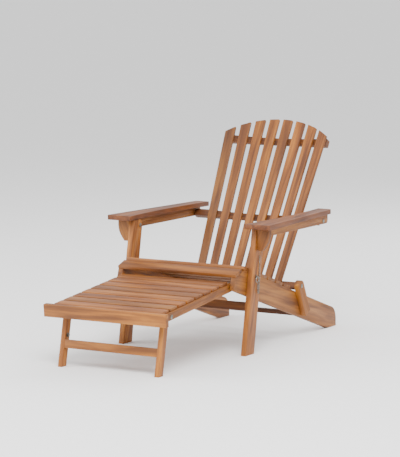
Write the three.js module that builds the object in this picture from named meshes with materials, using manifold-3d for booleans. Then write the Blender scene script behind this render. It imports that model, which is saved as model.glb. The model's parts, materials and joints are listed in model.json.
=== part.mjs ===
// A folding adirondack chair with a pull-out footrest, in oiled hardwood.
// Millimetres, +Z up. The chair faces -Y and is symmetric about X = 0.
// The rest pose is the chair set up, with the footrest pulled out on its own legs.

import * as THREE from "three";
import { mergeVertices } from "three/addons/utils/BufferGeometryUtils.js";
import Module from "manifold-3d";

const wasm = await Module();
wasm.setup();

const DEG = Math.PI / 180;
const GAP = 0.4; // between touching boards, so that no two solids share a face

// Lanes across the chair, measured outwards from the middle.
const BOARD = 22; // thickness of the frame boards
const STRINGER_OUTER = 276;
const STRINGER_INNER = STRINGER_OUTER - BOARD;
const LANE_GAP = 2; // room between boards that swing past each other
const LEG_INNER = STRINGER_OUTER + LANE_GAP;
const LEG_OUTER = LEG_INNER + BOARD;
const ARM_RAIL_INNER = LEG_OUTER + LANE_GAP;
const ARM_RAIL_OUTER = ARM_RAIL_INNER + 20;

// Stringers: the sloping side boards that carry the seat and end on the ground.
const STRINGER_SLOPE = 18 * DEG;
const STRINGER_HEIGHT = 95;
const NOSE = { y: -52, z: 272 }; // lower front corner
const NOSE_FACE = 50; // square part of the front end, below the sloping front slat
const NOSE_CUT = 58; // length along the top edge that the sloping cut takes
const TAIL = { y: 862, flat: 25, bulge: 82, shoulder: 870 }; // rounded rear end; shoulder is along the board

// Seat slats.
const SEAT_SLAT = { count: 6, width: 60, gap: 13, thickness: 14, start: 50 };
const FRONT_SLAT = { width: 54, thickness: 13.5 };

// Lower cross rails.
const FRONT_RAIL = { y: 86, top: 205.5, height: 34, thickness: 20, lean: 10 * DEG, ear: 15 };
const REAR_RAIL = { y: 502, z: 92, depth: 20, height: 19 };

// Back: a fan of flat slats on three rails cut to a shallow hollow.
const RECLINE = 30 * DEG;
const BACK_Y = 334; // where the front plane of the back meets the ground
const BACK_SLAT = { count: 8, thickness: 14, gap: 21, bottom: 257 };
const FAN_BOTTOM = { s: 257, half: 204.5 };
const FAN_TOP = { s: 956, half: 247.5 };
const ARCH = { apex: 1036, radius: 426 };
const HOLLOW = 20; // how far the middle of the back lies behind its edges
const RAIL_CLEAR = 1; // between the slats and the hollowed edge of a rail
const UPPER_RAIL = { s: 935, height: 32, half: 247, rear: 46 };
const MID_RAIL = { s: 571.6, height: 30, half: ARM_RAIL_INNER - LANE_GAP, rear: 44 };
const LOWER_RAIL = { s: 270, height: 26, half: STRINGER_OUTER - GAP, rear: 40 };

// Pivots of the folding frame, as points in the side view.
const BACK_PIVOT = onBack(LOWER_RAIL.s, 22);
const ARM_PIVOT = onBack(MID_RAIL.s, 26);
const LEG_PIVOT = { y: 141, z: 481 };
const LOCK_PIN = { y: 86, z: 312 };

// Arms.
const ARM = { top: 528, thickness: 20, front: 45, rear: 700 };
const ARM_OUTER = { front: 381, rear: 333 };
const ARM_INNER = { front: 268, waist: 285, rear: 267 };
const ARM_RAIL = { height: 38, front: 114, rear: 684 };
const CORBEL = { y: 91, thickness: 22 - GAP, bottom: 418, reach: 356, foot: 333 };

// Front legs.
const LEG_LEAN = 10.1 * DEG;
const LEG_DEPTH = 71; // measured level

// Struts that hold the back's pivot above the stringers.
const STRUT = { length: 138, lean: 26.5 * DEG, width: 46 };

// Footrest, in its own frame: origin on its axle, y towards the seat, tilted down to the front.
const AXLE = { y: -14, z: 279.6, radius: 5, half: 260.5 };
const FOOTREST_TILT = 5.9 * DEG;
const FOOTREST_TRAVEL = { y: 500, z: -115.6 };
const GROOVE = { half: 5.8, depth: 8 }; // slot in the stringers that the axle runs in
const SIDE_RAIL = { outer: 250, thickness: 20, half: 15, front: -553, rear: 14 };
const APRON = { front: -575, thickness: 22 - GAP, top: 27, height: 50, half: 277 };
const FOOT_SLAT = { count: 8, width: 56, pitch: 65.6, first: -549, thickness: 11.6, half: 243 };
const FOOT_REAR_RAIL = { y: -42, thickness: 20 };

// Folding legs of the footrest.
const FOOT_LEG = { y: -497, z: 226.8, lean: 11.9 * DEG, width: 32, outer: 229.5, thickness: 19 };
const FOOT_STRETCHER = { bottom: 71, height: 34, thickness: 20, setback: -6 };

// Fasteners.
const BOLT = { radius: 4, head: 9, headHeight: 3, clearance: 0.6 };
const ROUND = 20; // sides of a drilled hole or a bolt

const wood = {
  frame: { color: 0xb5713f, roughness: 0.58 },
  slat: { color: 0xa9683a, roughness: 0.6 },
  arm: { color: 0xad6c40, roughness: 0.55 },
  shaded: { color: 0x8f4f2a, roughness: 0.62 },
};
const steel = { color: 0x9c9a94, roughness: 0.35, metalness: 1 };

const chair = new THREE.Group();

// A point of the back in the side view: s up along its front plane, n behind that plane.
function onBack(s, n) {
  return {
    y: BACK_Y + s * Math.sin(RECLINE) + n * Math.cos(RECLINE),
    z: s * Math.cos(RECLINE) - n * Math.sin(RECLINE),
  };
}

// A point of a stringer in the side view: u back along its lower edge, v square to it.
function onStringer(u, v) {
  return {
    y: NOSE.y + u * Math.cos(STRINGER_SLOPE) + v * Math.sin(STRINGER_SLOPE),
    z: NOSE.z - u * Math.sin(STRINGER_SLOPE) + v * Math.cos(STRINGER_SLOPE),
  };
}

function shapeOf(points) {
  return new THREE.Shape(points.map((p) => new THREE.Vector2(p.y, p.z)));
}

function add(name, geometry, finish, parent = chair) {
  const mesh = new THREE.Mesh(geometry, new THREE.MeshStandardMaterial(finish));
  mesh.name = name;
  parent.add(mesh);
  return mesh;
}

// A board whose side view is a shape of (y, z) points, from x = inner to x = outer.
function sideBoard(shape, inner, outer) {
  const geometry = new THREE.ExtrudeGeometry(shape, {
    depth: outer - inner,
    bevelEnabled: false,
    curveSegments: 10,
  });
  const turn = new THREE.Matrix4().set(0, 0, 1, inner, 1, 0, 0, 0, 0, 1, 0, 0, 0, 0, 0, 1);
  return geometry.applyMatrix4(turn);
}

// The same board on the chair's other side.
function mirrored(geometry) {
  const copy = geometry.index ? geometry.toNonIndexed() : geometry.clone();
  copy.scale(-1, 1, 1);
  const place = copy.getAttribute("position");
  const corner = new THREE.Vector3();
  const other = new THREE.Vector3();
  for (let i = 0; i < place.count; i += 3) {
    corner.fromBufferAttribute(place, i + 1);
    other.fromBufferAttribute(place, i + 2);
    place.setXYZ(i + 1, other.x, other.y, other.z);
    place.setXYZ(i + 2, corner.x, corner.y, corner.z);
  }
  copy.deleteAttribute("normal");
  copy.deleteAttribute("uv");
  copy.computeVertexNormals();
  return copy;
}

function addPair(name, geometry, finish, parent = chair) {
  add(`${name}_right`, geometry, finish, parent);
  add(`${name}_left`, mirrored(geometry), finish, parent);
}

// A rectangle in the side view: width along a direction that rises by angle, thickness above it.
function rectangle(start, width, thickness, angle) {
  const along = { y: Math.cos(angle), z: Math.sin(angle) };
  const across = { y: -along.z, z: along.y };
  const corner = (w, t) => ({
    y: start.y + w * along.y + t * across.y,
    z: start.z + w * along.z + t * across.z,
  });
  return shapeOf([corner(0, 0), corner(width, 0), corner(width, thickness), corner(0, thickness)]);
}

// A round bar along X, from x = from to x = to, with the given (distance, radius) steps.
function turnedBar(y, z, steps) {
  const profile = steps.map(([x, radius]) => new THREE.Vector2(radius, x));
  profile.unshift(new THREE.Vector2(0, steps[0][0]));
  profile.push(new THREE.Vector2(0, steps[steps.length - 1][0]));
  const geometry = new THREE.LatheGeometry(profile, ROUND);
  geometry.rotateZ(-Math.PI / 2);
  geometry.translate(0, y, z);
  return geometry;
}

function solidOf(geometry) {
  const bare = geometry.clone();
  bare.deleteAttribute("normal");
  bare.deleteAttribute("uv");
  const merged = mergeVertices(bare, 1e-3);
  return new wasm.Manifold(
    new wasm.Mesh({
      numProp: 3,
      vertProperties: new Float32Array(merged.getAttribute("position").array),
      triVerts: new Uint32Array(merged.index.array),
    }),
  );
}

function geometryOf(solid) {
  const mesh = solid.getMesh();
  const geometry = new THREE.BufferGeometry();
  geometry.setAttribute("position", new THREE.BufferAttribute(mesh.vertProperties, 3));
  geometry.setIndex(new THREE.BufferAttribute(mesh.triVerts, 1));
  geometry.computeVertexNormals();
  return geometry;
}

function cut(geometry, ...cutters) {
  return geometryOf(cutters.reduce((solid, c) => solid.subtract(solidOf(c)), solidOf(geometry)));
}

// A cutter for a hole across the chair.
function hole(point, from, to, radius) {
  return turnedBar(point.y, point.z, [
    [from, radius],
    [to, radius],
  ]);
}

// A bolt across the chair: head at x = head, tip at x = tip.
function bolt(point, head, tip) {
  const way = Math.sign(tip - head);
  const steps = [
    [head - way * BOLT.headHeight, BOLT.head - 3],
    [head - way * BOLT.headHeight * 0.4, BOLT.head],
    [head - way * GAP, BOLT.head],
    [head - way * GAP, BOLT.radius],
    [tip, BOLT.radius],
  ];
  return turnedBar(point.y, point.z, way > 0 ? steps : steps.reverse());
}

function stringer() {
  const top = onStringer(NOSE_CUT, STRINGER_HEIGHT);
  const nose = onStringer(0, NOSE_FACE);
  const heel = onStringer(NOSE.z / Math.sin(STRINGER_SLOPE), 0);
  const shoulder = onStringer(TAIL.shoulder, STRINGER_HEIGHT);
  const shape = new THREE.Shape();
  shape.moveTo(NOSE.y, NOSE.z);
  shape.lineTo(heel.y, 0);
  shape.lineTo(TAIL.y, 0);
  shape.lineTo(TAIL.y, TAIL.flat);
  shape.quadraticCurveTo(TAIL.y, TAIL.bulge, shoulder.y, shoulder.z);
  shape.lineTo(top.y, top.z);
  shape.lineTo(nose.y, nose.z);
  const board = sideBoard(shape, STRINGER_INNER, STRINGER_OUTER);
  return cut(board, grooveCutter());
}

// The slot that an axle end slides in, from the pulled-out place to the pushed-in one.
function grooveCutter() {
  const angle = Math.atan2(FOOTREST_TRAVEL.z, FOOTREST_TRAVEL.y);
  const length = Math.hypot(FOOTREST_TRAVEL.y, FOOTREST_TRAVEL.z);
  const shape = new THREE.Shape();
  shape.absarc(0, 0, GROOVE.half, 90 * DEG, 270 * DEG);
  shape.absarc(length, 0, GROOVE.half, -90 * DEG, 90 * DEG);
  const cutter = sideBoard(shape, STRINGER_INNER - 1, STRINGER_INNER + GROOVE.depth);
  cutter.rotateX(angle);
  cutter.translate(0, AXLE.y, AXLE.z);
  return cutter;
}

function addSeat() {
  addPair("stringer", stringer(), wood.frame);
  const nose = onStringer(0, NOSE_FACE);
  const top = onStringer(NOSE_CUT, STRINGER_HEIGHT);
  const rise = Math.atan2(top.z - nose.z, top.y - nose.y);
  const start = { y: nose.y - 0.2, z: nose.z + GAP };
  const front = rectangle(start, FRONT_SLAT.width, FRONT_SLAT.thickness, rise);
  add("seat_front_slat", sideBoard(front, -STRINGER_OUTER, STRINGER_OUTER), wood.slat);
  for (let i = 0; i < SEAT_SLAT.count; i++) {
    const u = SEAT_SLAT.start + i * (SEAT_SLAT.width + SEAT_SLAT.gap);
    const place = onStringer(u, STRINGER_HEIGHT + GAP);
    const slat = rectangle(place, SEAT_SLAT.width, SEAT_SLAT.thickness, -STRINGER_SLOPE);
    add(`seat_slat_${i + 1}`, sideBoard(slat, -STRINGER_OUTER, STRINGER_OUTER), wood.slat);
  }
}

// The cross rail behind the front legs: its ends stand up to the stringers, its middle clears the
// footrest.
function addFrontRail() {
  const { y, top, height, thickness, lean, ear } = FRONT_RAIL;
  const outline = [
    [-STRINGER_OUTER, 0],
    [STRINGER_OUTER, 0],
    [STRINGER_OUTER, height + ear],
    [STRINGER_INNER + 2, height + ear],
    [STRINGER_INNER + 2, height],
    [-STRINGER_INNER - 2, height],
    [-STRINGER_INNER - 2, height + ear],
    [-STRINGER_OUTER, height + ear],
  ];
  const shape = new THREE.Shape(outline.map(([a, b]) => new THREE.Vector2(a, b)));
  const geometry = new THREE.ExtrudeGeometry(shape, { depth: thickness, bevelEnabled: false });
  geometry.rotateX(90 * DEG);
  geometry.translate(0, thickness, 0);
  const rail = add("front_cross_rail", geometry, wood.shaded);
  rail.rotation.x = -lean;
  rail.position.set(0, y - height * Math.sin(lean), top - height * Math.cos(lean));
}

function addRearRail() {
  const { y, z, depth, height } = REAR_RAIL;
  const half = STRINGER_INNER - GAP;
  const geometry = new THREE.BoxGeometry(2 * half, depth, height);
  geometry.translate(0, y + depth / 2, z + height / 2);
  add("rear_cross_rail", geometry, wood.shaded);
}

function addStruts() {
  const { length, lean, width } = STRUT;
  const shape = new THREE.Shape();
  shape.moveTo(width / 2, -length);
  shape.lineTo(width / 2, 0);
  shape.absarc(0, 0, width / 2, 0, 180 * DEG);
  shape.lineTo(-width / 2, -length);
  const board = sideBoard(shape, LEG_INNER - LANE_GAP + GAP, LEG_OUTER);
  board.rotateX(lean);
  board.translate(0, BACK_PIVOT.y, BACK_PIVOT.z);
  const drilled = cut(board, hole(BACK_PIVOT, LEG_INNER - 5, LEG_OUTER + 5, BOLT.radius + BOLT.clearance));
  addPair("back_strut", drilled, wood.frame);
  addPair("back_pivot_bolt", bolt(BACK_PIVOT, LEG_OUTER, STRINGER_INNER + 6), steel);
}

function fanHalf(s) {
  const share = (s - FAN_BOTTOM.s) / (FAN_TOP.s - FAN_BOTTOM.s);
  return FAN_BOTTOM.half + share * (FAN_TOP.half - FAN_BOTTOM.half) + BACK_SLAT.gap / 2;
}

function archHeight(x) {
  return ARCH.apex - ARCH.radius + Math.sqrt(ARCH.radius ** 2 - x ** 2);
}

// How far behind the front plane the back lies, at a share of its half width.
function hollow(share) {
  return HOLLOW * (1 - share ** 2);
}

function backSlat(share) {
  const halfGap = BACK_SLAT.gap / 2;
  const edge = (side, s) => (share + side / BACK_SLAT.count) * fanHalf(s) - side * halfGap;
  const middle = share * fanHalf(FAN_TOP.s);
  const points = [
    [edge(-1, BACK_SLAT.bottom), BACK_SLAT.bottom],
    [edge(1, BACK_SLAT.bottom), BACK_SLAT.bottom],
  ];
  for (const side of [1, 0.5, 0, -0.5, -1]) {
    const s = archHeight(edge(side, FAN_TOP.s));
    points.push([side === 0 ? middle : edge(side, s), s]);
  }
  const shape = new THREE.Shape(points.map(([x, s]) => new THREE.Vector2(x, s)));
  const geometry = new THREE.ExtrudeGeometry(shape, {
    depth: BACK_SLAT.thickness,
    bevelEnabled: false,
  });
  geometry.rotateX(90 * DEG);
  const lowX = share * fanHalf(BACK_SLAT.bottom);
  geometry.translate(-lowX, BACK_SLAT.thickness, 0);
  geometry.rotateZ(Math.atan(-2 * HOLLOW * share / fanHalf(600)));
  geometry.translate(lowX, hollow(share), 0);
  return geometry;
}

// A rail of the back: straight behind, hollowed in front to take the slats.
function backRail({ s, height, half, rear }) {
  const shape = new THREE.Shape();
  const reach = fanHalf(s);
  const front = (x) => {
    const share = Math.min(Math.abs(x) / reach, 1);
    return BACK_SLAT.thickness + RAIL_CLEAR + hollow(share);
  };
  const steps = 16;
  shape.moveTo(-half, rear);
  shape.lineTo(-half, front(half));
  for (let i = 0; i <= steps; i++) {
    const x = (-1 + (2 * i) / steps) * Math.min(half - 1, reach);
    shape.lineTo(x, front(x));
  }
  shape.lineTo(half, front(half));
  shape.lineTo(half, rear);
  const geometry = new THREE.ExtrudeGeometry(shape, { depth: height, bevelEnabled: false });
  geometry.translate(0, 0, s - height / 2);
  return geometry;
}

// The same geometry turned from the back's own frame into the chair's.
function leaned(geometry) {
  return geometry.clone().rotateX(-RECLINE).translate(0, BACK_Y, 0);
}

function addBack() {
  for (let i = 0; i < BACK_SLAT.count; i++) {
    const share = (2 * i + 1 - BACK_SLAT.count) / BACK_SLAT.count;
    add(`back_slat_${i + 1}`, leaned(backSlat(share)), wood.slat);
  }
  add("upper_back_rail", leaned(backRail(UPPER_RAIL)), wood.shaded);
  const radius = BOLT.radius + BOLT.clearance;
  const ends = (point, inner, outer) => [
    hole(point, inner, outer, radius),
    hole(point, -outer, -inner, radius),
  ];
  const mid = leaned(backRail(MID_RAIL));
  add("middle_back_rail", cut(mid, ...ends(ARM_PIVOT, 270, 310)), wood.shaded);
  const lower = leaned(backRail(LOWER_RAIL));
  add("lower_back_rail", cut(lower, ...ends(BACK_PIVOT, 250, 290)), wood.shaded);
}

function addArms() {
  const shape = new THREE.Shape();
  const corner = 8;
  shape.moveTo(ARM_INNER.front, ARM.front);
  shape.lineTo(ARM_OUTER.front - corner, ARM.front);
  shape.quadraticCurveTo(ARM_OUTER.front, ARM.front, ARM_OUTER.front, ARM.front + corner);
  shape.lineTo(ARM_OUTER.rear + 1, ARM.rear - 2 * corner);
  shape.quadraticCurveTo(ARM_OUTER.rear, ARM.rear, ARM_OUTER.rear - 2 * corner, ARM.rear);
  shape.lineTo(ARM_INNER.rear, ARM.rear);
  const middle = (ARM.front + ARM.rear) / 2;
  shape.quadraticCurveTo(2 * ARM_INNER.waist - ARM_INNER.rear, middle, ARM_INNER.front, ARM.front);
  const board = new THREE.ExtrudeGeometry(shape, {
    depth: ARM.thickness,
    bevelEnabled: false,
    curveSegments: 14,
  });
  board.translate(0, 0, ARM.top - ARM.thickness);
  addPair("arm", board, wood.arm);
}

function addArmRails() {
  const top = ARM.top - ARM.thickness - GAP;
  const shape = new THREE.Shape();
  const round = 16;
  shape.moveTo(ARM_RAIL.front, top - ARM_RAIL.height);
  shape.lineTo(ARM_RAIL.rear - round, top - ARM_RAIL.height);
  shape.quadraticCurveTo(ARM_RAIL.rear, top - ARM_RAIL.height, ARM_RAIL.rear, top - ARM_RAIL.height + round);
  shape.lineTo(ARM_RAIL.rear, top);
  shape.lineTo(ARM_RAIL.front, top);
  const board = sideBoard(shape, ARM_RAIL_INNER, ARM_RAIL_OUTER);
  const radius = BOLT.radius + BOLT.clearance;
  const holes = [ARM_PIVOT, LEG_PIVOT].map((p) => hole(p, ARM_RAIL_INNER - 5, ARM_RAIL_OUTER + 5, radius));
  addPair("arm_rail", cut(board, ...holes), wood.frame);
  addPair("arm_pivot_bolt", bolt(ARM_PIVOT, ARM_RAIL_OUTER, 276), steel);
}

// A curved bracket under each arm, square to the leg.
function addCorbels() {
  const top = ARM.top - ARM.thickness - GAP;
  const shape = new THREE.Shape();
  shape.moveTo(ARM_RAIL_INNER, CORBEL.bottom);
  shape.lineTo(CORBEL.foot - 6, CORBEL.bottom);
  shape.bezierCurveTo(CORBEL.foot + 10, CORBEL.bottom + 24, CORBEL.reach, 452, CORBEL.reach, top - 14);
  shape.lineTo(CORBEL.reach, top);
  shape.lineTo(ARM_RAIL_INNER, top);
  const board = new THREE.ExtrudeGeometry(shape, {
    depth: CORBEL.thickness,
    bevelEnabled: false,
    curveSegments: 14,
  });
  board.rotateX(90 * DEG);
  board.translate(0, CORBEL.y + CORBEL.thickness, 0);
  addPair("corbel", board, wood.frame);
}

function addFrontLegs() {
  const top = ARM.top - ARM.thickness - 2;
  const lean = Math.tan(LEG_LEAN);
  const front = (z) => z * lean;
  const rear = (z) => LEG_DEPTH + z * lean;
  const shape = new THREE.Shape();
  shape.moveTo(front(0), 0);
  shape.lineTo(rear(0), 0);
  shape.lineTo(rear(LEG_PIVOT.z - 11), LEG_PIVOT.z - 11);
  shape.quadraticCurveTo(rear(top), top, LEG_PIVOT.y - 6, top);
  shape.lineTo(front(top), top);
  const board = sideBoard(shape, LEG_INNER, LEG_OUTER);
  const radius = BOLT.radius + BOLT.clearance;
  const holes = [LEG_PIVOT, LOCK_PIN].map((p) => hole(p, LEG_INNER - 5, LEG_OUTER + 5, radius));
  addPair("front_leg", cut(board, ...holes), wood.frame);
  addPair("leg_pivot_bolt", bolt(LEG_PIVOT, LEG_INNER, ARM_RAIL_OUTER + 6), steel);
  addPair("lock_pin", lockPin(), steel);
}

// The lock pin of a front leg, with a ring through its outer end.
function lockPin() {
  const tube = 1.6;
  const ringRadius = 11;
  const end = LEG_OUTER + 9;
  const shank = turnedBar(LOCK_PIN.y, LOCK_PIN.z, [
    [LEG_INNER + 0.5, BOLT.radius - 1],
    [LEG_INNER + 2, BOLT.radius],
    [LEG_OUTER + GAP, BOLT.radius],
    [LEG_OUTER + GAP, BOLT.radius + 3],
    [LEG_OUTER + 3, BOLT.radius + 3],
    [LEG_OUTER + 3, BOLT.radius],
    [end, BOLT.radius],
  ]);
  const ring = new THREE.TorusGeometry(ringRadius, tube, 8, 24);
  ring.rotateY(90 * DEG);
  ring.translate(end - 3, LOCK_PIN.y, LOCK_PIN.z - ringRadius);
  return geometryOf(solidOf(shank).add(solidOf(ring)));
}

function addAxle() {
  const rod = turnedBar(AXLE.y, AXLE.z, [
    [-AXLE.half, AXLE.radius],
    [AXLE.half, AXLE.radius],
  ]);
  add("footrest_axle", rod, steel);
}

// The footrest's own frame, turned into the chair's.
function tilted(geometry) {
  return geometry.clone().rotateX(FOOTREST_TILT).translate(0, AXLE.y, AXLE.z);
}

function addFootrest() {
  const { outer, thickness, half, front, rear } = SIDE_RAIL;
  const side = new THREE.Shape();
  side.moveTo(front, -half);
  side.lineTo(rear - half, -half);
  side.absarc(rear - half, 0, half, -90 * DEG, 90 * DEG);
  side.lineTo(front, half);
  const rail = tilted(sideBoard(side, outer - thickness, outer));
  const radius = BOLT.radius + BOLT.clearance;
  const drilled = cut(
    rail,
    hole(AXLE, outer - thickness - 5, outer + 5, AXLE.radius + BOLT.clearance),
    hole(FOOT_LEG, outer - thickness - 5, outer + 5, radius),
  );
  addPair("footrest_side_rail", drilled, wood.frame);

  const apron = new THREE.BoxGeometry(2 * APRON.half, APRON.thickness, APRON.height);
  apron.translate(0, APRON.front + APRON.thickness / 2, APRON.top - APRON.height / 2);
  add("footrest_apron", tilted(apron), wood.frame);

  const inner = outer - thickness - GAP;
  const back = new THREE.BoxGeometry(2 * inner, FOOT_REAR_RAIL.thickness, 2 * half);
  back.translate(0, FOOT_REAR_RAIL.y + FOOT_REAR_RAIL.thickness / 2, 0);
  add("footrest_rear_rail", tilted(back), wood.shaded);

  for (let i = 0; i < FOOT_SLAT.count; i++) {
    const slat = new THREE.BoxGeometry(2 * FOOT_SLAT.half, FOOT_SLAT.width, FOOT_SLAT.thickness);
    const y = FOOT_SLAT.first + i * FOOT_SLAT.pitch + FOOT_SLAT.width / 2;
    slat.translate(0, y, half + GAP + FOOT_SLAT.thickness / 2);
    add(`footrest_slat_${i + 1}`, tilted(slat), wood.slat);
  }
}

function addFootrestLegs() {
  const { y, z, lean, width, outer, thickness } = FOOT_LEG;
  const half = width / 2;
  const slope = Math.tan(lean);
  const reach = z / Math.cos(lean);
  const shape = new THREE.Shape();
  shape.moveTo(half, -reach + half * slope);
  shape.lineTo(half, 0);
  shape.absarc(0, 0, half, 0, 180 * DEG);
  shape.lineTo(-half, -reach - half * slope);
  const board = sideBoard(shape, outer - thickness, outer);
  board.rotateX(-lean);
  board.translate(0, y, z);
  const holes = hole(FOOT_LEG, outer - thickness - 5, outer + 5, BOLT.radius + BOLT.clearance);
  addPair("footrest_leg", cut(board, holes), wood.frame);
  addPair("footrest_leg_bolt", bolt(FOOT_LEG, SIDE_RAIL.outer - 0.2, outer - thickness - 6), steel);

  const stretcher = new THREE.BoxGeometry(
    2 * (outer - thickness - GAP),
    FOOT_STRETCHER.thickness,
    FOOT_STRETCHER.height,
  );
  const down = (z - FOOT_STRETCHER.bottom - FOOT_STRETCHER.height / 2) / Math.cos(lean);
  stretcher.translate(0, FOOT_STRETCHER.setback, -down);
  stretcher.rotateX(-lean);
  stretcher.translate(0, y, z);
  add("footrest_stretcher", stretcher, wood.frame);
}

addSeat();
addFrontRail();
addRearRail();
addStruts();
addBack();
addArms();
addArmRails();
addCorbels();
addFrontLegs();
addAxle();
addFootrest();
addFootrestLegs();

// The origin is on the ground, midway between the footrest's front and the stringers' tails.
const box = new THREE.Box3().setFromObject(chair);
chair.position.y = -(box.min.y + box.max.y) / 2;

export default chair;
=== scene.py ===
import json
import math
import random

import bmesh
import bpy
import numpy as np
from mathutils import Matrix, Vector

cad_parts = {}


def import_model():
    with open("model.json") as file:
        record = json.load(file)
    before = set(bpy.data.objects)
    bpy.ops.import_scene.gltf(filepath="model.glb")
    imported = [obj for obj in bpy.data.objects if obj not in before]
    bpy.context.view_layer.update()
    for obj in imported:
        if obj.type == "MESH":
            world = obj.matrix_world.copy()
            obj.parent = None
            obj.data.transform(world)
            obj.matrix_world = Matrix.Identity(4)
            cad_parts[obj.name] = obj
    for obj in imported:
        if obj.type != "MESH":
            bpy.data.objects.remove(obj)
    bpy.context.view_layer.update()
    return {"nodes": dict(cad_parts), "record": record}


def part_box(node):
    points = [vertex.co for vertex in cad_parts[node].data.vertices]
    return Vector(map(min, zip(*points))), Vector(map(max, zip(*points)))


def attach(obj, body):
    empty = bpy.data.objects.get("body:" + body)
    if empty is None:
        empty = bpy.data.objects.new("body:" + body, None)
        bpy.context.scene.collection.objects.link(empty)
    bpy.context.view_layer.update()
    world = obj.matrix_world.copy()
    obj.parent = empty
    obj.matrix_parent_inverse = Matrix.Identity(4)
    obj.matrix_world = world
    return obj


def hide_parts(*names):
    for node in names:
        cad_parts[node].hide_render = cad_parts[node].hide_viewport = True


# Metres, in the row frame. The chair faces -Y and +Z is up.

MM = 0.001

EDGE_ROUND = 1.6 * MM
EDGE_SEGMENTS = 2
SHARP_ANGLE = math.radians(28)
FLAT_ANGLE = math.radians(1)
END_GRAIN = 0.85  # how squarely a face must look along the board to count as an end

NUT_RADIUS = 7 * MM
WASHER_RADIUS = 9 * MM
NUT_RISE = 14 * MM  # of the footrest leg nuts, above the stretcher
NUT_SETBACK = 14 * MM

CHAIN_PATH = [(302.6, 111, 396), (303.5, 107, 300), (304.5, 101, 247), (305.8, 93, 250), (307, 87, 287)]
LINK_PITCH = 6.2 * MM
LINK_RADIUS = 3.1 * MM
LINK_STRETCH = 1.5
WIRE_RADIUS = 0.75 * MM

CAMERA_AT = (4.4777, -7.7870, 1.5813)
CAMERA_AZIMUTH = 29.87
CAMERA_ELEVATION = 6.97
CAMERA_LENS = 173.6

# Light, middle and dark colour of each wood slot, and how much its boards differ.
WOODS = {
    "frame_wood": ((0.360, 0.128, 0.008), (0.215, 0.064, 0.003), (0.080, 0.018, 0.001), 0.18),
    "slat_wood": ((0.300, 0.100, 0.007), (0.175, 0.049, 0.003), (0.065, 0.014, 0.001), 0.32),
    "arm_wood": ((0.245, 0.074, 0.009), (0.150, 0.039, 0.004), (0.062, 0.013, 0.001), 0.10),
    # rail_wood is painted shade: the frame wood darkened to about half, for the boards that sit in shadow
    # under the chair
    "rail_wood": ((0.180, 0.054, 0.005), (0.105, 0.028, 0.002), (0.045, 0.010, 0.001), 0.14),
}


# ---- materials


class Graph:
    """The node tree of one material, with short ways to add and join nodes."""

    def __init__(self, name):
        self.material = bpy.data.materials.new(name)
        self.material.use_nodes = True
        self.tree = self.material.node_tree
        self.tree.nodes.clear()
        self.shader = self.add("ShaderNodeBsdfPrincipled")
        output = self.add("ShaderNodeOutputMaterial")
        self.join(self.shader.outputs["BSDF"], output.inputs["Surface"])

    def add(self, kind, **settings):
        node = self.tree.nodes.new(kind)
        for key, value in settings.items():
            setattr(node, key, value)
        return node

    def join(self, output, socket):
        self.tree.links.new(output, socket)

    def attribute(self, name):
        return self.add("ShaderNodeAttribute", attribute_name=name)

    def stretched(self, source, scale):
        mapping = self.add("ShaderNodeMapping")
        mapping.inputs["Scale"].default_value = scale
        self.join(source, mapping.inputs["Vector"])
        return mapping.outputs["Vector"]

    def noise(self, source, scale, detail=4.0, distortion=0.0):
        node = self.add("ShaderNodeTexNoise")
        node.inputs["Scale"].default_value = 1.0
        node.inputs["Detail"].default_value = detail
        node.inputs["Distortion"].default_value = distortion
        self.join(self.stretched(source, scale), node.inputs["Vector"])
        return node.outputs["Fac"]

    def bands(self, source, scale, distortion):
        node = self.add("ShaderNodeTexWave", wave_type="BANDS", bands_direction="Y")
        node.inputs["Scale"].default_value = 1.0
        node.inputs["Distortion"].default_value = distortion
        node.inputs["Detail"].default_value = 3.0
        node.inputs["Detail Scale"].default_value = 0.8
        self.join(self.stretched(source, scale), node.inputs["Vector"])
        return node.outputs["Fac"]

    def ramp(self, source, stops):
        node = self.add("ShaderNodeValToRGB")
        elements = node.color_ramp.elements
        while len(elements) < len(stops):
            elements.new(0.5)
        for element, (place, color) in zip(elements, stops):
            element.position = place
            element.color = (*color, 1.0)
        self.join(source, node.inputs["Fac"])
        return node.outputs["Color"]

    def spread(self, source, low, high, to_low, to_high):
        node = self.add("ShaderNodeMapRange")
        for key, value in zip(("From Min", "From Max", "To Min", "To Max"), (low, high, to_low, to_high)):
            node.inputs[key].default_value = value
        self.join(source, node.inputs["Value"])
        return node.outputs["Result"]

    def mix(self, blend, factor, first, second):
        node = self.add("ShaderNodeMix", data_type="RGBA", blend_type=blend)
        for key, value in (("Factor", factor), (6, first), (7, second)):
            socket = node.inputs[key]
            if isinstance(value, bpy.types.NodeSocket):
                self.join(value, socket)
            else:
                socket.default_value = value
        return node.outputs[2]

    def bump(self, height, strength, distance):
        node = self.add("ShaderNodeBump")
        node.inputs["Strength"].default_value = strength
        node.inputs["Distance"].default_value = distance
        self.join(height, node.inputs["Height"])
        self.join(node.outputs["Normal"], self.shader.inputs["Normal"])


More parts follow.
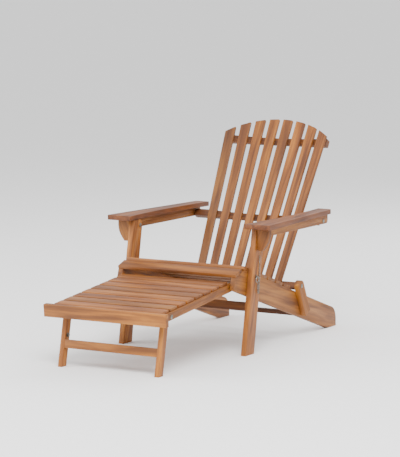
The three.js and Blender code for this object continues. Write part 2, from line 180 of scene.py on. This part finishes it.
def wood_material(name, light, middle, dark):
    """Oiled hardwood: figure and pores run along each board, and boards differ in tone."""
    g = Graph(name)
    grain = g.attribute("grain").outputs["Vector"]
    board = g.attribute("tone").outputs["Color"]
    figure = g.bands(grain, (0.9, 26, 26), 7.0)
    cloud = g.noise(grain, (3.5, 38, 38), detail=5.0, distortion=0.6)
    pores = g.noise(grain, (60, 1500, 1500), detail=2.0)
    color = g.ramp(cloud, [(0.34, dark), (0.50, middle), (0.68, light)])
    rings = g.ramp(figure, [(0.0, (0.66, 0.60, 0.55)), (0.45, (1.0, 1.0, 1.0)), (1.0, (1.0, 1.0, 1.0))])
    color = g.mix("MULTIPLY", 0.55, color, rings)
    color = g.mix("MULTIPLY", 1.0, color, board)
    streaks = g.ramp(pores, [(0.33, (0.45, 0.38, 0.34)), (0.46, (1.0, 1.0, 1.0))])
    color = g.mix("MULTIPLY", 0.45, color, streaks)
    ends = g.attribute("end_grain").outputs["Fac"]
    color = g.mix("MULTIPLY", g.spread(ends, 0, 1, 0, 0.45), color, (0.50, 0.42, 0.38, 1.0))
    wear = g.spread(g.add("ShaderNodeNewGeometry").outputs["Pointiness"], 0.52, 0.60, 0.0, 0.30)
    color = g.mix("MIX", wear, color, (*light, 1.0))
    g.join(color, g.shader.inputs["Base Color"])
    g.join(g.spread(cloud, 0.2, 0.8, 0.70, 0.50), g.shader.inputs["Roughness"])
    g.shader.inputs["Coat Weight"].default_value = 0.05
    g.shader.inputs["Coat Roughness"].default_value = 0.35
    g.bump(pores, 0.35, 0.25 * MM)
    return g.material


def steel_material():
    """Zinc-plated steel, a little dulled in patches."""
    g = Graph("steel")
    place = g.add("ShaderNodeTexCoord").outputs["Object"]
    patches = g.noise(place, (90, 90, 90), detail=4.0)
    color = g.ramp(patches, [(0.3, (0.13, 0.12, 0.10)), (0.7, (0.30, 0.28, 0.25))])
    g.join(color, g.shader.inputs["Base Color"])
    g.join(g.spread(patches, 0.3, 0.7, 0.46, 0.26), g.shader.inputs["Roughness"])
    g.shader.inputs["Metallic"].default_value = 1.0
    g.bump(g.noise(place, (900, 900, 900), detail=2.0), 0.15, 0.1 * MM)
    return g.material


def floor_material():
    """Matt pale paper."""
    g = Graph("floor")
    place = g.add("ShaderNodeTexCoord").outputs["Object"]
    paper = g.noise(place, (40, 40, 40))
    color = g.ramp(paper, [(0.3, (0.93, 0.93, 0.93)), (0.7, (0.96, 0.96, 0.96))])
    g.join(color, g.shader.inputs["Base Color"])
    g.shader.inputs["Roughness"].default_value = 0.8
    return g.material


# ---- boards


def softened(source):
    """A copy of a board's mesh with clean flat faces and rounded edges."""
    bm = bmesh.new()
    bm.from_mesh(source)
    bmesh.ops.remove_doubles(bm, verts=bm.verts, dist=0.01 * MM)
    bmesh.ops.dissolve_limit(bm, angle_limit=FLAT_ANGLE, verts=bm.verts, edges=bm.edges)
    sharp = [e for e in bm.edges if len(e.link_faces) == 2 and e.calc_face_angle(0) > SHARP_ANGLE]
    bmesh.ops.bevel(
        bm,
        geom=sharp,
        offset=EDGE_ROUND,
        segments=EDGE_SEGMENTS,
        profile=0.5,
        affect="EDGES",
        clamp_overlap=True,
    )
    bmesh.ops.recalc_face_normals(bm, faces=bm.faces)
    mesh = bpy.data.meshes.new(source.name + "_board")
    bm.to_mesh(mesh)
    bm.free()
    return mesh


def board_axes(points):
    """The board's length, width and thickness directions."""
    centred = points - points.mean(axis=0)
    axes = np.linalg.svd(centred, full_matrices=False)[2]
    return np.array([a if a[np.argmax(np.abs(a))] > 0 else -a for a in axes])


def add_grain(mesh, corners, variation, dice):
    """Stores where each point lies along the board, the board's tone and which faces are sawn ends."""
    axes = board_axes(corners)
    points = np.array([v.co for v in mesh.vertices])
    offset = np.array([dice.uniform(0, 50) for _ in range(3)])
    grain = mesh.attributes.new("grain", "FLOAT_VECTOR", "POINT")
    grain.data.foreach_set("vector", (points @ axes.T + offset).astype(np.float32).ravel())
    value = 1 + dice.uniform(-variation, variation)
    red = 1 + dice.uniform(-variation, variation) * 0.25
    tone = mesh.attributes.new("tone", "FLOAT_COLOR", "POINT")
    color = (value, value / red, value / red**2, 1.0)
    tone.data.foreach_set("color", np.tile(color, len(points)).astype(np.float32))
    length = Vector(axes[0])
    ends = mesh.attributes.new("end_grain", "FLOAT", "FACE")
    ends.data.foreach_set("value", [float(abs(p.normal.dot(length)) > END_GRAIN) for p in mesh.polygons])


def add_board(node, cad, body, material, variation, dice):
    mesh = softened(cad.data)
    corners = np.array([v.co for v in cad.data.vertices])
    add_grain(mesh, corners, variation, dice)
    mesh.shade_smooth()
    mesh.set_sharp_from_angle(angle=SHARP_ANGLE)
    mesh.materials.append(material)
    board = bpy.data.objects.new(node + "_board", mesh)
    bpy.context.scene.collection.objects.link(board)
    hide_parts(node)
    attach(board, body)


# ---- hardware


def turned(bm, profile, sides, place):
    """A closed turned piece: profile is (radius, height) from its back to its front."""
    rings = []
    for radius, height in profile:
        ring = []
        for i in range(sides):
            a = math.tau * i / sides
            ring.append(bm.verts.new(place @ Vector((radius * math.cos(a), radius * math.sin(a), height))))
        rings.append(ring)
    for low, high in zip(rings, rings[1:]):
        for i in range(sides):
            j = (i + 1) % sides
            bm.faces.new((low[i], low[j], high[j], high[i]))
    bm.faces.new(list(reversed(rings[0])))
    bm.faces.new(rings[-1])


def facing(point, normal):
    turn = Vector(normal).normalized().to_track_quat("Z", "Y").to_matrix().to_4x4()
    return Matrix.Translation(point) @ turn


def add_nut(bm, point, normal):
    washer = [(WASHER_RADIUS, 0.1 * MM), (WASHER_RADIUS, 1.6 * MM)]
    r = NUT_RADIUS
    nut = [(r * 0.95, 1.7 * MM), (r, 2.2 * MM), (r, 6.5 * MM), (r * 0.9, 7 * MM)]
    turned(bm, washer, 24, facing(point, normal))
    turned(bm, nut, 6, facing(point, normal))


def link_mesh(bm, place):
    """One oval chain link, its long way along the local X axis."""
    around, across = 14, 6
    rings = []
    for i in range(around):
        a = math.tau * i / around
        out = Vector((math.cos(a), math.sin(a), 0))
        centre = Vector((LINK_RADIUS * LINK_STRETCH * out.x, LINK_RADIUS * out.y, 0))
        ring = []
        for k in range(across):
            b = math.tau * k / across
            offset = out * (WIRE_RADIUS * math.cos(b)) + Vector((0, 0, WIRE_RADIUS * math.sin(b)))
            ring.append(bm.verts.new(place @ (centre + offset)))
        rings.append(ring)
    for i in range(around):
        this, following = rings[i], rings[(i + 1) % around]
        for k in range(across):
            j = (k + 1) % across
            bm.faces.new((this[k], following[k], following[j], this[j]))


def smooth_path(points, count):
    """Evenly numbered points of a Catmull-Rom curve through the given points."""
    padded = [points[0], *points, points[-1]]
    result = []
    for i in range(count):
        t = i / (count - 1) * (len(points) - 1)
        k = min(int(t), len(points) - 2)
        t -= k
        a, b, c, d = padded[k : k + 4]
        square = (2 * a - 5 * b + 4 * c - d) * t**2
        cube = (3 * b - a - 3 * c + d) * t**3
        result.append(0.5 * (2 * b + (c - a) * t + square + cube))
    return result


def even_steps(path, pitch):
    """Points of a path that are one pitch apart."""
    steps = [path[0]]
    for point in path[1:]:
        if (point - steps[-1]).length >= pitch:
            steps.append(point)
    return steps


def add_chain(bm, side, shift):
    points = [Vector((side * x, y, z)) * MM + Vector((0, shift, 0)) for x, y, z in CHAIN_PATH]
    steps = even_steps(smooth_path(points, 800), LINK_PITCH)
    for i, (a, b) in enumerate(zip(steps, steps[1:])):
        along = (b - a).normalized()
        turn = along.to_track_quat("X", "Z").to_matrix().to_4x4()
        roll = Matrix.Rotation(math.radians(45 + 90 * (i % 2)), 4, "X")
        link_mesh(bm, Matrix.Translation((a + b) / 2) @ turn @ roll)


def add_hardware(name, body, steel, build):
    """One mesh of small metal pieces that ride on a body; build adds them to it."""
    bm = bmesh.new()
    build(bm)
    bmesh.ops.recalc_face_normals(bm, faces=bm.faces)
    mesh = bpy.data.meshes.new(name)
    bm.to_mesh(mesh)
    bm.free()
    mesh.shade_smooth()
    mesh.set_sharp_from_angle(angle=SHARP_ANGLE)
    mesh.materials.append(steel)
    piece = bpy.data.objects.new(name, mesh)
    bpy.context.scene.collection.objects.link(piece)
    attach(piece, body)


def outer_nuts(frame, names, outward):
    """A nut and washer on the bare end of each bolt."""
    def build(bm):
        for name in names:
            low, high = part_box(name)
            side = 1 if low.x + high.x > 0 else -1
            tip = max(abs(low.x), abs(high.x)) if outward else min(abs(low.x), abs(high.x))
            way = side if outward else -side
            middle = (low + high) / 2
            add_nut(bm, Vector((side * tip - way * 6 * MM, middle.y, middle.z)), (way, 0, 0))
    return build


def stretcher_nuts(frame):
    """A nut inside each footrest leg, just above the stretcher."""
    def build(bm):
        low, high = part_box("footrest_stretcher")
        middle = (low + high) / 2
        for side in (-1, 1):
            inner = high.x + 0.4 * MM
            point = Vector((side * inner, middle.y + NUT_SETBACK, high.z + NUT_RISE))
            add_nut(bm, point, (-side, 0, 0))
    return build


def both_sides(name):
    return [f"{name}_right", f"{name}_left"]


def add_all_hardware(frame, steel):
    add_hardware("leg_nuts", "front_legs", steel, outer_nuts(frame, both_sides("leg_pivot_bolt"), True))
    add_hardware("stretcher_nuts", "footrest_legs", steel, stretcher_nuts(frame))
    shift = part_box("front_leg_right")[0].y

    def chains(bm):
        for side in (-1, 1):
            add_chain(bm, side, shift)

    add_hardware("lock_pin_chains", "front_legs", steel, chains)


# ---- stage


def add_floor():
    bpy.ops.mesh.primitive_plane_add(size=600, location=(0, 0, 0))
    floor = bpy.context.object
    floor.name = "floor"
    floor.data.materials.append(floor_material())


def add_light(name, place, target, size, power):
    data = bpy.data.lights.new(name, "AREA")
    data.size = size
    data.energy = power
    light = bpy.data.objects.new(name, data)
    light.location = place
    light.rotation_euler = (Vector(target) - Vector(place)).to_track_quat("-Z", "Y").to_euler()
    bpy.context.scene.collection.objects.link(light)


def add_lights():
    target = (0, 0, 0.4)
    add_light("key", (2.2, -3.4, 4.2), target, 3.0, 420)
    add_light("fill", (-4.0, -2.6, 2.6), target, 3.5, 140)
    add_light("back", (0.5, 4.0, 3.6), target, 3.0, 120)
    world = bpy.data.worlds.new("studio")
    world.use_nodes = True
    background = world.node_tree.nodes["Background"]
    background.inputs["Color"].default_value = (1.0, 1.0, 1.0, 1.0)
    background.inputs["Strength"].default_value = 1.25
    bpy.context.scene.world = world


def add_camera():
    data = bpy.data.cameras.new("camera")
    data.lens = CAMERA_LENS
    data.clip_end = 100
    camera = bpy.data.objects.new("camera", data)
    camera.location = CAMERA_AT
    camera.rotation_euler = (math.radians(90 - CAMERA_ELEVATION), 0, math.radians(CAMERA_AZIMUTH))
    bpy.context.scene.collection.objects.link(camera)
    bpy.context.scene.camera = camera


def main():
    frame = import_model()
    record = frame["record"]
    slots = {part["node"]: part["material_slot"] for part in record["subparts"]}
    woods = {name: wood_material(name, *colors[:3]) for name, colors in WOODS.items()}
    steel = steel_material()
    dice = random.Random(7)
    for body, nodes in sorted(record["behaviour"]["bodies"].items()):
        for node in sorted(nodes):
            cad = frame["nodes"][node]
            slot = slots[node]
            if slot in WOODS:
                add_board(node, cad, body, woods[slot], WOODS[slot][3], dice)
            else:
                cad.data.materials.clear()
                cad.data.materials.append(steel)
    add_all_hardware(frame, steel)
    add_floor()
    add_lights()
    add_camera()


main()
